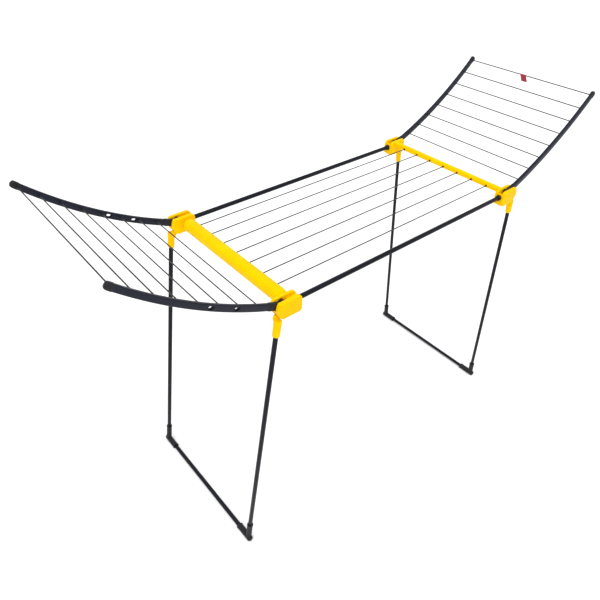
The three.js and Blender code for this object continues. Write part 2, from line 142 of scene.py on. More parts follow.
CROSSBAR_BEVEL = 5
CROSSBAR_END_EDGE = 0.4
GROMMET_RADIUS = 4.0
GROMMET_NOSE_RADIUS = 3.0
GROMMET_RIM = 0.7
GROMMET_LENGTH = 2.4
GROMMET_GAP = 0.25
GROMMET_SINK = 0.05

ARM_ROOT = -80  # places along an arm are measured from its innermost wire
ARM_ROOT_HEIGHT = 21.5
ARM_TIP_HEIGHT = 17.5
ARM_SINK = 4.5  # how far the arm's middle lies below the wires at its root
ARM_WIDTH = 12
ARM_EDGE = 3.4
TIP_PAST_WIRE = 15
SHELF_PLACE = -56  # where the knuckle's shelf starts to carry the arm
CAP_LENGTH = 21
CAP_PROUD = 0.8
CAP_PROUD_HEIGHT = 1.28  # added to the tube's height, for the top and the bottom together
CAP_START = 1.6  # the length over which the cap swells from the tube
CAP_START_TRIM = 0.88
CAP_START_EDGE = 3.6
CAP_EDGE = 3.8
CAP_STEPS = 10
CAP_BLUNTNESS = 0.8  # the smaller, the blunter the cap's nose from the side
CAP_NARROWING = 0.75  # how much of its width the nose loses
CAP_NARROWING_DELAY = 1.6  # the larger, the later it does
CAP_EDGE_SHARE = 0.48  # the largest rounding, as a share of a ring's size
CAP_SMALLEST = 0.3
TUBE_STEPS = 44
TUBE_IN_FITTING = 2  # the tube starts this far inside the root fitting
TUBE_IN_CAP = 4  # and ends this far inside the tip cap
FITTING_END = -33
FITTING_WIDTH = 14
FITTING_PROUD = 0.5
FITTING_EDGE = 2.6
FITTING_ROUND = 2.4  # rounding of its closed end
FITTING_MOUTH = 2  # the length over which it thins to its mouth
FITTING_MOUTH_TRIM = 1.1
FITTING_MOUTH_EDGE = 2.2
FITTING_STEPS = 8
SMALLEST = 0.2  # a ring never closes further than this
EYE_RADIUS = 8
EYE_EDGE = 1.2
SEAT_DEPTH = 4.5
SLOT_PLACES = (75, 158)  # the hanger slots, in the near arms only
SLOT_LENGTH = 15
SLOT_HEIGHT = 7
SLOT_FLARE = 1.9

SLEEVE_TOP = 11.5
SLEEVE_LENGTH = 53
SLEEVE_RADIUS = {"near": 12, "far": 11}  # at the top
SLEEVE_TAPER = 1.1
SLEEVE_MOUTH = 8  # over this length the taper runs out
SLEEVE_MOUTH_TAPER = 0.3
SLEEVE_WALL_END = 16
LUG_HALF = 7.5
LUG_EDGE = 0.8
LEG_EYE_RADIUS = 9.5
LEG_EYE_EDGE = 1
LEG_END_GAP = 0.3  # play between a leg tube's end and its fitting
FOOT_RADIUS = 11
FOOT_COLLAR = 0.9
FOOT_COLLAR_LENGTH = 5
FOOT_COLLAR_STEP = 0.8
FOOT_SLEEVE_UP = {"near": 72, "far": 60}
FOOT_SLEEVE_IN = 56
FOOT_WALL = 2  # the bar's bore stops this far past the foot's radius from the leg's line
TOE_SHARE = 0.75  # the toe's length as a share of the foot's radius
TOE_STEPS = 8

TAG_THICKNESS = 0.7
TAG_FOLD_GAP = 0.15
TAG_DROP_SHARE = 0.84
TAG_SKEW = -11.0
TAG_WAVE = 0.5
TAG_LEAF_GAP = 0.35  # half the gap between the leaves
TAG_LEAVES = ((1, 0.55), (-1, 0.15))  # each leaf's side, and how far it opens out
TAG_CLOSING = 2.2  # the larger, the nearer the wire the leaves meet
TAG_CLOSING_CURVE = 1.5
TAG_STEPS = 12
TAG_FOLD_STEPS = 10


# ---- outlines and shells --------------------------------------------------------------
# A shell is (points, faces). Its faces needn't face outwards: to_object sorts that out.
def rounded(points, steps, closed=True):
    """Rounds the corners of an outline given as (x, y, how far the rounding reaches)."""
    out = []
    last = len(points) - 1
    for i, (x, y, reach) in enumerate(points):
        here = Vector((x, y))
        if reach == 0 or (not closed and i in (0, last)):
            out.append(here)
            continue
        before = Vector(points[i - 1][:2]) - here
        after = Vector(points[(i + 1) % len(points)][:2]) - here
        start = here + before.normalized() * min(reach, before.length * 0.48)
        end = here + after.normalized() * min(reach, after.length * 0.48)
        for step in range(steps + 1):
            t = step / steps
            out.append(start.lerp(here, t).lerp(here.lerp(end, t), t))
    return out


def arc(centre, radius, start, end, steps):
    """Points on an arc, with angles in radians."""
    angles = [start + (end - start) * i / steps for i in range(steps + 1)]
    return [centre + radius * Vector((math.cos(a), math.sin(a))) for a in angles]


def inset(outline, distance):
    """The outline moved inwards. It runs anticlockwise."""
    moved = []
    for i, here in enumerate(outline):
        before = (here - outline[i - 1]).normalized()
        after = (outline[(i + 1) % len(outline)] - here).normalized()
        normals = [Vector((-d.y, d.x)) for d in (before, after)]
        spread = max(0.5, 1 + normals[0].dot(normals[1]))
        moved.append(here + distance * (normals[0] + normals[1]) / spread)
    return moved


def anticlockwise(outline):
    area = sum(a.cross(b) for a, b in zip(outline, outline[1:] + outline[:1]))
    return outline if area > 0 else outline[::-1]


def loft(rings):
    """A shell through rings that have the same number of points, capped at both ends."""
    count = len(rings[0])
    points = [p for ring in rings for p in ring]
    faces = []
    for row in range(len(rings) - 1):
        for i in range(count):
            j = (i + 1) % count
            a, b = row * count, (row + 1) * count
            faces.append((a + i, a + j, b + j, b + i))
    faces.append(tuple(range(count)))
    faces.append(tuple(range(len(points) - count, len(points))))
    return points, faces


def plate(outline, y_low, y_high, edge_low=0, edge_high=0):
    """A plate with a side outline in X and Z, running across Y, with rounded edges."""
    outline = anticlockwise(outline)
    turns = [math.pi / 2 * step / ROUND_STEPS for step in range(ROUND_STEPS + 1)]
    levels = [(y_low + edge_low * (1 - math.cos(t)), edge_low * (1 - math.sin(t))) for t in turns]
    for t in reversed(turns):
        levels.append((y_high - edge_high * (1 - math.cos(t)), edge_high * (1 - math.sin(t))))
    rings = []
    for y, distance in levels:
        rings.append([Vector((p.x, y, p.y)) for p in inset(outline, distance)])
    return loft(rings)


def lathe(start, axis, profile, sides):
    """Turns (along, radius) pairs about the axis through start."""
    axis = axis.normalized()
    side = axis.orthogonal().normalized()
    other = axis.cross(side)
    rings = []
    for along, radius in profile:
        ring = []
        for i in range(sides):
            turn = 2 * math.pi * i / sides
            out = side * math.cos(turn) + other * math.sin(turn)
            ring.append(start + axis * along + out * radius)
        rings.append(ring)
    return loft(rings)


def ring_lathe(start, axis, profile, sides):
    """Turns a closed profile that stays clear of the axis, for a ring."""
    points, faces = lathe(start, axis, profile + [profile[0]], sides)
    return points, faces[:-2]


def rod(start, end, radius, sides, edge=0.0):
    """A round bar, with its end edges rounded by edge."""
    length = (end - start).length
    corners = [(0, 0, 0), (0, radius, edge), (length, radius, edge), (length, 0, 0)]
    profile = rounded(corners, 3, closed=False) if edge else [Vector(c[:2]) for c in corners]
    return lathe(start, end - start, profile, sides)


def line_along(node, axis):
    """The two ends of a bar's centre line. The bar lies along axis 0 (X) or 1 (Y)."""
    low, high = box(node)
    start = (low + high) / 2
    end = start.copy()
    start[axis], end[axis] = low[axis], high[axis]
    return start, end


# ---- objects ----------------------------------------------------------------------------
def to_object(name, shell, x_sign=1, y_sign=1):
    """A mesh object from a shell, mirrored where a sign is -1."""
    points, faces = shell
    mesh = bpy.data.meshes.new(name)
    placed = [(p.x * MM * x_sign, p.y * MM * y_sign, p.z * MM) for p in points]
    mesh.from_pydata(placed, [], faces)
    clean = bmesh.new()
    clean.from_mesh(mesh)
    bmesh.ops.remove_doubles(clean, verts=clean.verts, dist=MERGE)
    bmesh.ops.dissolve_degenerate(clean, edges=clean.edges, dist=MERGE)
    bmesh.ops.recalc_face_normals(clean, faces=clean.faces)
    clean.to_mesh(mesh)
    clean.free()
    made = bpy.data.objects.new(name, mesh)
    bpy.context.scene.collection.objects.link(made)
    return made


def boolean(target, operation, shells):
    """Joins shells to an object (UNION) or cuts them out of it (DIFFERENCE)."""
    tools = [to_object(f"{target.name}_tool", shell) for shell in shells]
    for tool in tools:
        modifier = target.modifiers.new("step", "BOOLEAN")
        modifier.operation = operation
        modifier.solver = "EXACT"
        modifier.object = tool
    bpy.context.view_layer.update()
    ready = target.evaluated_get(bpy.context.evaluated_depsgraph_get())
    mesh = bpy.data.meshes.new_from_object(ready)
    target.modifiers.clear()
    target.data = mesh
    for tool in tools:
        bpy.data.objects.remove(tool)
    return target


def mirrored_copy(source, name, x_sign, y_sign):
    mesh = source.data.copy()
    mesh.transform(Matrix.Diagonal((x_sign, y_sign, 1, 1)))
    if x_sign * y_sign < 0:
        mesh.flip_normals()
    made = bpy.data.objects.new(name, mesh)
    bpy.context.scene.collection.objects.link(made)
    return made


def dress(obj, name, body, slot, material, *nodes):
    """Finishes a piece: its name, material and body, and the nodes it stands for. The slot is not
    used.
    """
    obj.name = name
    obj.data.name = name
    obj.data.materials.clear()
    obj.data.materials.append(material)
    for face in obj.data.polygons:
        face.use_smooth = True
        face.material_index = 0
    obj.data.set_sharp_from_angle(angle=SMOOTH_ANGLE)
    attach(obj, body)
    if nodes:
        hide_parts(*nodes)


# ---- materials -----------------------------------------------------------------------------
class Nodes:
    """A material's node tree with its Principled shader, and a short way to add to it."""

    def __init__(self, name):
        self.material = bpy.data.materials.new(name)
        self.material.use_nodes = True
        self.tree = self.material.node_tree
        self.shader = self.tree.nodes["Principled BSDF"]
        self.place = self.add("ShaderNodeTexCoord").outputs["Object"]

    def add(self, kind, **settings):
        node = self.tree.nodes.new(kind)
        for key, value in settings.items():
            setattr(node, key, value)
        return node

    def link(self, source, target):
        self.tree.links.new(source, target)

    def noise(self, scale, detail, stretch=(1, 1, 1)):
        mapping = self.add("ShaderNodeMapping")
        mapping.inputs["Scale"].default_value = stretch
        self.link(self.place, mapping.inputs["Vector"])
        node = self.add("ShaderNodeTexNoise")
        node.inputs["Scale"].default_value = scale
        node.inputs["Detail"].default_value = detail
        self.link(mapping.outputs["Vector"], node.inputs["Vector"])
        return node.outputs["Fac"]

    def ramp(self, source, stops):
        """A colour ramp; stops are (position, colour or grey)."""
        node = self.add("ShaderNodeValToRGB")
        ramp = node.color_ramp
        while len(ramp.elements) < len(stops):
            ramp.elements.new(0.5)
        for element, (position, colour) in zip(ramp.elements, stops):
            element.position = position
            grey = isinstance(colour, (int, float))
            element.color = (colour,) * 3 + (1,) if grey else (*colour, 1)
        self.link(source, node.inputs["Fac"])
        return node.outputs["Color"]

    def bump(self, height, strength, distance, under=None):
        node = self.add("ShaderNodeBump")
        node.inputs["Strength"].default_value = strength
        node.inputs["Distance"].default_value = distance
        self.link(height, node.inputs["Height"])
        if under is not None:
            self.link(under, node.inputs["Normal"])
        return node.outputs["Normal"]


def scaled(colour, factor):
    return tuple(min(1.0, c * factor) for c in colour)


def moulded_plastic(name, colour, roughness, grain_scale, grain_depth, ior_level):
    """Injection-moulded plastic: a fine spark-eroded grain and slight flow marks."""
    nodes = Nodes(name)
    flow = nodes.noise(scale=14, detail=2)
    tint = nodes.ramp(flow, [(0.3, scaled(colour, 0.94)), (0.7, scaled(colour, 1.04))])
    nodes.link(tint, nodes.shader.inputs["Base Color"])
    patches = nodes.noise(scale=60, detail=4)
    gloss = nodes.ramp(patches, [(0.3, roughness - 0.05), (0.7, roughness + 0.07)])
    nodes.link(gloss, nodes.shader.inputs["Roughness"])
    waves = nodes.bump(nodes.noise(scale=90, detail=2), strength=0.12, distance=0.0006)
    pits = nodes.noise(scale=grain_scale, detail=4)
    grain = nodes.bump(pits, strength=grain_depth, distance=0.0002, under=waves)
    nodes.link(grain, nodes.shader.inputs["Normal"])
    nodes.shader.inputs["Specular IOR Level"].default_value = ior_level
    return nodes


def yellow_plastic():
    nodes = moulded_plastic(
        "yellow_plastic",
        (0.92, 0.53, 0.0),
        roughness=0.42,
        grain_scale=1400,
        grain_depth=0.22,
        ior_level=0.05,
    )
    nodes.shader.inputs["Specular Tint"].default_value = (1.0, 0.8, 0.15, 1)
    nodes.shader.inputs["Subsurface Weight"].default_value = 0.15
    nodes.shader.inputs["Subsurface Radius"].default_value = (1.0, 0.42, 0.02)
    nodes.shader.inputs["Subsurface Scale"].default_value = 0.004
    return nodes.material


def black_plastic():
    nodes = moulded_plastic(
        "black_plastic",
        (0.012, 0.012, 0.015),
        roughness=0.5,
        grain_scale=1100,
        grain_depth=0.4,
        ior_level=0.2,
    )
    return nodes.material


def powder_coat(name, colour, roughness, ior_level):
    """Powder-coated steel: an orange-peel surface with small variations in gloss."""
    nodes = Nodes(name)
    cloud = nodes.noise(scale=9, detail=3)
    tint = nodes.ramp(cloud, [(0.3, scaled(colour, 0.88)), (0.7, scaled(colour, 1.12))])
    nodes.link(tint, nodes.shader.inputs["Base Color"])
    patches = nodes.noise(scale=45, detail=3)
    gloss = nodes.ramp(patches, [(0.3, roughness - 0.06), (0.7, roughness + 0.08)])
    nodes.link(gloss, nodes.shader.inputs["Roughness"])
    peel = nodes.bump(nodes.noise(scale=420, detail=2), strength=0.25, distance=0.0004)
    dust = nodes.noise(scale=2200, detail=2)
    fine = nodes.bump(dust, strength=0.15, distance=0.0001, under=peel)
    nodes.link(fine, nodes.shader.inputs["Normal"])
    nodes.shader.inputs["Specular IOR Level"].default_value = ior_level
    return nodes.material


def drawn_wire():
    """Drawn steel wire under a thin dark coat, with die lines along each wire."""
    nodes = Nodes("line_wire")
    along_bed = nodes.noise(scale=40, detail=4, stretch=(0.05, 14, 14))
    along_wing = nodes.noise(scale=40, detail=4, stretch=(14, 0.05, 14))
    mixed = nodes.add("ShaderNodeMath", operation="MULTIPLY")
    nodes.link(along_bed, mixed.inputs[0])
    nodes.link(along_wing, mixed.inputs[1])
    streaks = mixed.outputs["Value"]
    tint = nodes.ramp(streaks, [(0.12, (0.012, 0.0115, 0.0105)), (0.42, (0.034, 0.033, 0.03))])
    nodes.link(tint, nodes.shader.inputs["Base Color"])
    gloss = nodes.ramp(streaks, [(0.1, 0.28), (0.5, 0.42)])
    nodes.link(gloss, nodes.shader.inputs["Roughness"])
    lines = nodes.bump(streaks, strength=0.2, distance=0.0002)
    nodes.link(lines, nodes.shader.inputs["Normal"])
    nodes.shader.inputs["Metallic"].default_value = 0.5
    return nodes.material


def zinc_pin():
    """Zinc-plated steel, with a fine spangle."""
    nodes = Nodes("hinge_pin")
    spangle = nodes.noise(scale=700, detail=5)
    tint = nodes.ramp(spangle, [(0.35, (0.42, 0.43, 0.45)), (0.65, (0.66, 0.67, 0.69))])
    nodes.link(tint, nodes.shader.inputs["Base Color"])
    nodes.link(nodes.ramp(spangle, [(0.3, 0.25), (0.7, 0.42)]), nodes.shader.inputs["Roughness"])
    grain = nodes.bump(spangle, strength=0.15, distance=0.0001)
    nodes.link(grain, nodes.shader.inputs["Normal"])
    nodes.shader.inputs["Metallic"].default_value = 1.0
    return nodes.material


def label_vinyl():
    """Soft red vinyl with a fine cross-hatched emboss."""
    nodes = Nodes("tag_label")
    colour = (0.33, 0.012, 0.03)
    cloud = nodes.noise(scale=120, detail=3)
    tint = nodes.ramp(cloud, [(0.3, scaled(colour, 0.85)), (0.7, scaled(colour, 1.15))])
    nodes.link(tint, nodes.shader.inputs["Base Color"])
    waves = []
    for direction in ("Y", "Z"):
        wave = nodes.add("ShaderNodeTexWave", bands_direction=direction)
        wave.inputs["Scale"].default_value = 320
        nodes.link(nodes.place, wave.inputs["Vector"])
        waves.append(wave.outputs["Fac"])
    both = nodes.add("ShaderNodeMath", operation="MAXIMUM")
    nodes.link(waves[0], both.inputs[0])
    nodes.link(waves[1], both.inputs[1])
    emboss = nodes.bump(both.outputs["Value"], strength=0.35, distance=0.0002)
    nodes.link(emboss, nodes.shader.inputs["Normal"])
    nodes.link(nodes.ramp(cloud, [(0.3, 0.5), (0.7, 0.62)]), nodes.shader.inputs["Roughness"])
    return nodes.material


YELLOW = yellow_plastic()
BLACK_PLASTIC = black_plastic()
ARM_COAT = powder_coat("arm_coat", (0.006, 0.008, 0.019), roughness=0.36, ior_level=0.2)
TUBE_COAT = powder_coat("tube_coat", (0.005, 0.006, 0.011), roughness=0.34, ior_level=0.16)
WIRE = drawn_wire()
PIN = zinc_pin()
VINYL = label_vinyl()


# ---- camera, floor and light -------------------------------------------------------------
CAMERA_PLACE = (-1253.1, -1190.94, 1957.04)
CAMERA_YAW = math.radians(48.8605)  # of its line of sight, from +X towards +Y
CAMERA_PITCH = math.radians(38.5259)  # below the horizon
CAMERA_ROLL = math.radians(1.8838)
CAMERA_LENS = 34.2
CAMERA_SENSOR = 36.0
CAMERA_FAR = 50  # metres

FLOOR_HALF = 30.0  # metres

ROOM_STRENGTH = 0.7
KEY_POWER = 2.2
KEY_SPREAD = math.radians(65)
KEY_AIM = (0.3, 0.25, -1.0)
LAMP_TARGET = (0, 0, 0.9)  # metres


def make_camera():
    yaw, pitch, roll = CAMERA_YAW, CAMERA_PITCH, CAMERA_ROLL
    ahead = Vector(
        (math.cos(yaw) * math.cos(pitch), math.sin(yaw) * math.cos(pitch), -math.sin(pitch))
    )
    level = Vector((math.sin(yaw), -math.cos(yaw), 0))
    upright = level.cross(ahead)
    right = level * math.cos(roll) + upright * math.sin(roll)
    up = upright * math.cos(roll) - level * math.sin(roll)
    data = bpy.data.cameras.new("camera")
    data.lens = CAMERA_LENS
    data.sensor_width = CAMERA_SENSOR
    data.clip_end = CAMERA_FAR
    camera = bpy.data.objects.new("camera", data)
    turn = Matrix((right, up, -ahead)).transposed().to_4x4()
    camera.matrix_world = Matrix.Translation(Vector(CAMERA_PLACE) * MM) @ turn
    bpy.context.scene.collection.objects.link(camera)
    bpy.context.scene.camera = camera


def make_floor():
    mesh = bpy.data.meshes.new("floor")
    signs = ((-1, -1), (1, -1), (1, 1), (-1, 1))
    corners = [(x * FLOOR_HALF, y * FLOOR_HALF, 0) for x, y in signs]
    mesh.from_pydata(corners, [], [(0, 1, 2, 3)])
    floor = bpy.data.objects.new("floor", mesh)
    bpy.context.scene.collection.objects.link(floor)
    nodes = Nodes("floor")
    tint = nodes.ramp(nodes.noise(scale=3, detail=2), [(0.3, 0.89), (0.7, 0.91)])
    nodes.link(tint, nodes.shader.inputs["Base Color"])
    nodes.shader.inputs["Roughness"].default_value = 0.9
    nodes.shader.inputs["Specular IOR Level"].default_value = 0.1
    mesh.materials.append(nodes.material)


def round_lamp(name, place, size, power):
    data = bpy.data.lights.new(name, "AREA")
    data.shape = "DISK"
    data.size = size
    data.energy = power
    lamp = bpy.data.objects.new(name, data)
    lamp.location = Vector(place)
    aim = Vector(LAMP_TARGET) - Vector(place)
    lamp.rotation_euler = aim.to_track_quat("-Z", "Y").to_euler()
    bpy.context.scene.collection.objects.link(lamp)


def make_light():
    """A white room, a broad key light from the near front corner, and two weak lamps."""
    world = bpy.data.worlds.new("studio")
    world.use_nodes = True
    background = world.node_tree.nodes["Background"]
    background.inputs["Color"].default_value = (1.0, 1.0, 1.0, 1)
    background.inputs["Strength"].default_value = ROOM_STRENGTH
    bpy.context.scene.world = world
    bpy.context.scene.view_settings.view_transform = "Standard"
    data = bpy.data.lights.new("key", "SUN")
    data.energy = KEY_POWER
    data.angle = KEY_SPREAD
    key = bpy.data.objects.new("key", data)
    key.rotation_euler = Vector(KEY_AIM).to_track_quat("-Z", "Y").to_euler()
    bpy.context.scene.collection.objects.link(key)
    round_lamp("shine", place=(-1.6, -2.2, 3.2), size=1.0, power=12)
    round_lamp("rim", place=(1.8, 3.2, 3.2), size=1.6, power=10)


# ---- bed ----------------------------------------------------------------------------------
def make_rails():
    for side, y_sign in SIDES.items():
        node = f"{side}_rail"
        low, high = box(node)
        start = Vector((low.x, RAIL.y, RAIL.z))
        end = Vector((high.x, RAIL.y, RAIL.z))
        shell = rod(start, end, RAIL_RADIUS, TUBE_SIDES, RAIL_END_EDGE)
        rail = to_object(node, shell, 1, y_sign)
        dress(rail, f"{side}_rail_tube", "bed", "black_tube", TUBE_COAT, node)


def make_rail_bushes():
    """Black rings that close the far knuckles' rail sockets."""
    low, high = box("back_rail_bush")
    length = high.x - low.x
    outer = (high.z - low.z) / 2
    bore = RAIL_RADIUS + BORE_GAP
    corners = [  # a narrower nose, then a step out to the full ring
        (0, bore, 0.5),
        (0, outer - 1.2, 0.9),
        (length * 0.55, outer - 0.7, 0.4),
        (length * 0.62, outer, 0.5),
        (length, outer, 0.4),
        (length, bore, 0.3),
    ]
    profile = rounded(corners, 3)
    for side, y_sign in SIDES.items():
        start = Vector((low.x, RAIL.y, RAIL.z))
        shell = ring_lathe(start, Vector((1, 0, 0)), profile, TUBE_SIDES)
        bush = to_object("bush", shell, 1, y_sign)
        dress(bush, f"{side}_rail_ring", "bed", "black_plastic", BLACK_PLASTIC, f"{side}_rail_bush")


def make_wire(name, axis, body):
    start, end = line_along(name, axis)
    wire = to_object(name, rod(start, end, WIRE_RADIUS, WIRE_SIDES, WIRE_END_EDGE))
    dress(wire, f"{name}_steel", body, "line_wire", WIRE, name)


def make_wires():
    for name in BED_WIRES:
        make_wire(name, 0, "bed")
    for wing in ENDS:
        for name in numbered(f"{wing}_wing_wire"):
            make_wire(name, 1, f"{wing}_wing")


def wire_holes(face_x):
    """Cutters for the bed wires' holes, reaching equally far on either side of face_x."""
    shells = []
    for name in BED_WIRES:
        centre = middle(name)
        start = Vector((face_x - WIRE_HOLE_DEPTH, centre.y, centre.z))
        end = start + Vector((2 * WIRE_HOLE_DEPTH, 0, 0))
        shells.append(rod(start, end, WIRE_RADIUS + BORE_GAP, HOLE_SIDES))
    return shells


def make_housing():
    """The large round tube at the near end, with a domed end against each knuckle."""
    low, high = box("line_housing")
    radius = (high.z - low.z) / 2
    centre = (low + high) / 2
    reach = high.y
    dome = []
    for i in range(DOME_STEPS + 1):
        turn = DOME_FLAT * i / DOME_STEPS
        along = reach - DOME_LENGTH * (1 - math.sin(turn) / math.sin(DOME_FLAT))
        dome.append(Vector((along, radius * math.cos(turn))))
    start = [Vector((-p.x, p.y)) for p in reversed(dome)]
    profile = [Vector((-reach, 0))] + start + dome + [Vector((reach, 0))]
    axis_start = Vector((centre.x, 0, centre.z))
    shell = lathe(axis_start, Vector((0, 1, 0)), profile, HOUSING_SIDES)
    housing = to_object("housing", shell)
    boolean(housing, "DIFFERENCE", wire_holes(box(BED_WIRES[0])[0].x + HOUSING_FACE))
    dress(housing, "line_housing_shell", "bed", "yellow_plastic", YELLOW, "line_housing")


def make_crossbar():
    """The slim bar at the far end, with bevelled top edges."""
    low, high = box("far_crossbar")
    corners = [
        (low.x, low.z, 1.8),
        (high.x, low.z, 1.8),
        (high.x, high.z - CROSSBAR_BEVEL, 1.2),
        (high.x - CROSSBAR_BEVEL, high.z, 1.2),
        (low.x + CROSSBAR_BEVEL, high.z, 1.2),
        (low.x, high.z - CROSSBAR_BEVEL, 1.2),
    ]
    shell = plate(rounded(corners, 4), low.y, high.y, CROSSBAR_END_EDGE, CROSSBAR_END_EDGE)
    bar = to_object("crossbar", shell)
    boolean(bar, "DIFFERENCE", wire_holes(low.x))
    dress(bar, "far_crossbar_bar", "bed", "yellow_plastic", YELLOW, "far_crossbar")
    bore = WIRE_RADIUS + GROMMET_GAP
    corners = [
        (-GROMMET_SINK, bore, 0),
        (-GROMMET_SINK, GROMMET_RADIUS, 0),
        (GROMMET_RIM, GROMMET_RADIUS, 0.5),
        (GROMMET_LENGTH, GROMMET_NOSE_RADIUS, 0.8),
        (GROMMET_LENGTH, bore, 0.3),
    ]
    profile = rounded(corners, 3)
    for index, name in enumerate(BED_WIRES, 1):
        centre = middle(name)
        start = Vector((low.x, centre.y, centre.z))
        shell = ring_lathe(start, Vector((-1, 0, 0)), profile, GROMMET_SIDES)
        grommet = to_object("grommet", shell)
        dress(grommet, f"crossbar_grommet_{index}", "bed", "black_plastic", BLACK_PLASTIC)


# ---- knuckles -------------------------------------------------------------------------------
def knuckle_box(end):
    """The box of an end's back knuckle, mirrored to the far end."""
    low, high = box(f"{end}_back_knuckle")
    if ENDS[end] < 0:
        low.x, high.x = -high.x, -low.x
    return low, high


def arc_centre(high):
    """The centre, in X and Z, of the big arc on a knuckle's outer side."""
    return Vector((high.x - KNUCKLE_ARC_RADIUS, high.z - KNUCKLE_ARC_TOP))


def knuckle_outline(low, high):
    """A cheek's side view: a box with the big arc for its outer side."""
    centre = arc_centre(high)
    low_turn = math.asin((low.z - centre.y) / KNUCKLE_ARC_RADIUS)
    high_turn = math.asin((high.z - centre.y) / KNUCKLE_ARC_RADIUS)
    nose = arc(centre, KNUCKLE_ARC_RADIUS, low_turn, high_turn, KNUCKLE_ARC_STEPS)
    corners = [(p.x, p.y, 0) for p in nose[1:-1]]
    corners.append((nose[-1].x, nose[-1].y, NOSE_CORNER))
    corners.append((low.x, high.z, KNUCKLE_TOP_CORNER))
    corners.append((low.x, low.z, KNUCKLE_CORNER))
    corners.append((nose[0].x, nose[0].y, NOSE_CORNER))
    return rounded(corners, 8)


def web_outline(low, high):
    """The solid between the cheeks: it holds the rail's socket and a shelf for the arm."""
    centre = arc_centre(high)
    arc_radius = KNUCKLE_ARC_RADIUS - WEB_MARGIN
    left, bottom = low.x + WEB_MARGIN, low.z + WEB_MARGIN
    ceiling = LEG_PIVOT.z + LEG_EYE_RADIUS + POCKET_GAP
    wall = LEG_PIVOT.x - LEG_EYE_RADIUS - POCKET_GAP
    floor = LEG_PIVOT.z + SLOT_FLOOR
    ramp = WING_PIVOT.x + RAMP_START
    rail_top = RAIL.z + RAIL_RADIUS
    rest = arm_point(SHELF_PLACE)
    shelf = arm_edge(rest, -1)
    shelf_top = shelf.y - SHELF_GAP

    def on_arc(height):
        return centre.x + math.sqrt(arc_radius**2 - (height - centre.y) ** 2)

    lip = shelf_top + (high.x - shelf.x) * math.tan(rest[1])
    if shelf.x + SHELF_SHORTEST < on_arc(lip):
        nose = [(on_arc(lip), lip, 0.8), (shelf.x, shelf_top, 1)]
    else:  # the big arc ends the ramp before it reaches the shelf
        rise = (shelf_top - floor) / (shelf.x - ramp)
        height = floor + (on_arc(shelf.y) - ramp) * rise
        nose = [(on_arc(height), height, 0.8)]
    corners = [
        (left, bottom, 5),
        (wall, bottom, 1),
        (wall, ceiling, 2),
        (on_arc(ceiling), ceiling, 0.8),
        *nose,
        (ramp, floor, 1),
        (RAIL_SOCKET_END + SOCKET_SLOPE_END, floor, 2),
        (RAIL_SOCKET_END + SOCKET_SLOPE_START, rail_top + SOCKET_END_WALL, 2),
        (left, rail_top + SOCKET_MOUTH_WALL, 1),
    ]
    return rounded(corners, 4)


def knuckle_body(end):
    """Two cheeks joined by the web, with the rail's socket and the pins' holes."""
    low, high = knuckle_box(end)
    outline = knuckle_outline(low, high)
    slot_low, slot_high = RAIL.y - SLOT_HALF, RAIL.y + SLOT_HALF
    knuckle = to_object("knuckle", plate(outline, slot_high, high.y, CHEEK_INNER_EDGE, CHEEK_EDGE))
    inner_cheek = plate(outline, low.y, slot_low, BED_CHEEK_EDGE, CHEEK_INNER_EDGE)
    outline = web_outline(low, high)
    web = plate(outline, slot_low - WEB_OVERLAP, slot_high + WEB_OVERLAP)
    boolean(knuckle, "UNION", [inner_cheek, web])
    start = Vector((low.x - CUT, RAIL.y, RAIL.z))
    stop = Vector((RAIL_SOCKET_END, RAIL.y, RAIL.z))
    cutters = [rod(start, stop, RAIL_RADIUS + BORE_GAP, TUBE_SIDES)]
    pin_low, pin_high = box("far_back_wing_pin")
    for pivot, radius in PINS.values():
        start = Vector((pivot.x, pin_low.y - PIN_END_GAP, pivot.z))
        stop = Vector((pivot.x, pin_high.y + BORE_GAP, pivot.z))
        cutters.append(rod(start, stop, radius + BORE_GAP, PIN_SIDES))
    return boolean(knuckle, "DIFFERENCE", cutters)


def make_knuckles():
    """One drawing for each end, mirrored to its two sides, and the pins."""
    for end, x_sign in ENDS.items():
        body = knuckle_body(end)
        for side, y_sign in SIDES.items():
            corner = f"{end}_{side}"
            copy = mirrored_copy(body, corner, x_sign, y_sign)
            dress(
                copy, f"{corner}_hinge_housing", "bed", "yellow_plastic", YELLOW,
                f"{corner}_knuckle",
            )
            make_pins(corner, x_sign, y_sign)
        bpy.data.objects.remove(body)


def make_pins(corner, x_sign, y_sign):
    for kind, (pivot, radius) in PINS.items():
        low, high = box(f"far_back_{kind}")
        start = Vector((pivot.x, low.y, pivot.z))
        end = Vector((pivot.x, high.y, pivot.z))
        shell = rod(start, end, radius, PIN_SIDES, PIN_END_EDGE)
        pin = to_object(kind, shell, x_sign, y_sign)
        dress(pin, f"{corner}_{kind}_rivet", "bed", "hinge_pin", PIN, f"{corner}_{kind}")


# ---- wings ------------------------------------------------------------------------------------
def circle_through(a, b, c):
    """Centre of the circle through three points."""
    d = 2 * (a.x * (b.y - c.y) + b.x * (c.y - a.y) + c.x * (a.y - b.y))
    squares = [p.length_squared for p in (a, b, c)]
    x = squares[0] * (b.y - c.y) + squares[1] * (c.y - a.y) + squares[2] * (a.y - b.y)
    y = squares[0] * (c.x - b.x) + squares[1] * (a.x - c.x) + squares[2] * (b.x - a.x)
    return Vector((x / d, y / d))


WING_SEATS = [middle(name).xz for name in numbered("far_wing_wire")]
ARM_CENTRE = circle_through(WING_SEATS[0], WING_SEATS[4], WING_SEATS[-1])
ARM_RADIUS = (WING_SEATS[0] - ARM_CENTRE).length


def place_of(seat):
    """How far along the arm's centre line a point lies, from the innermost wire."""
    start, here = WING_SEATS[0] - ARM_CENTRE, seat - ARM_CENTRE
    return ARM_RADIUS * (math.atan2(here.y, here.x) - math.atan2(start.y, start.x))


ARM_TIP = place_of(WING_SEATS[-1]) + TIP_PAST_WIRE


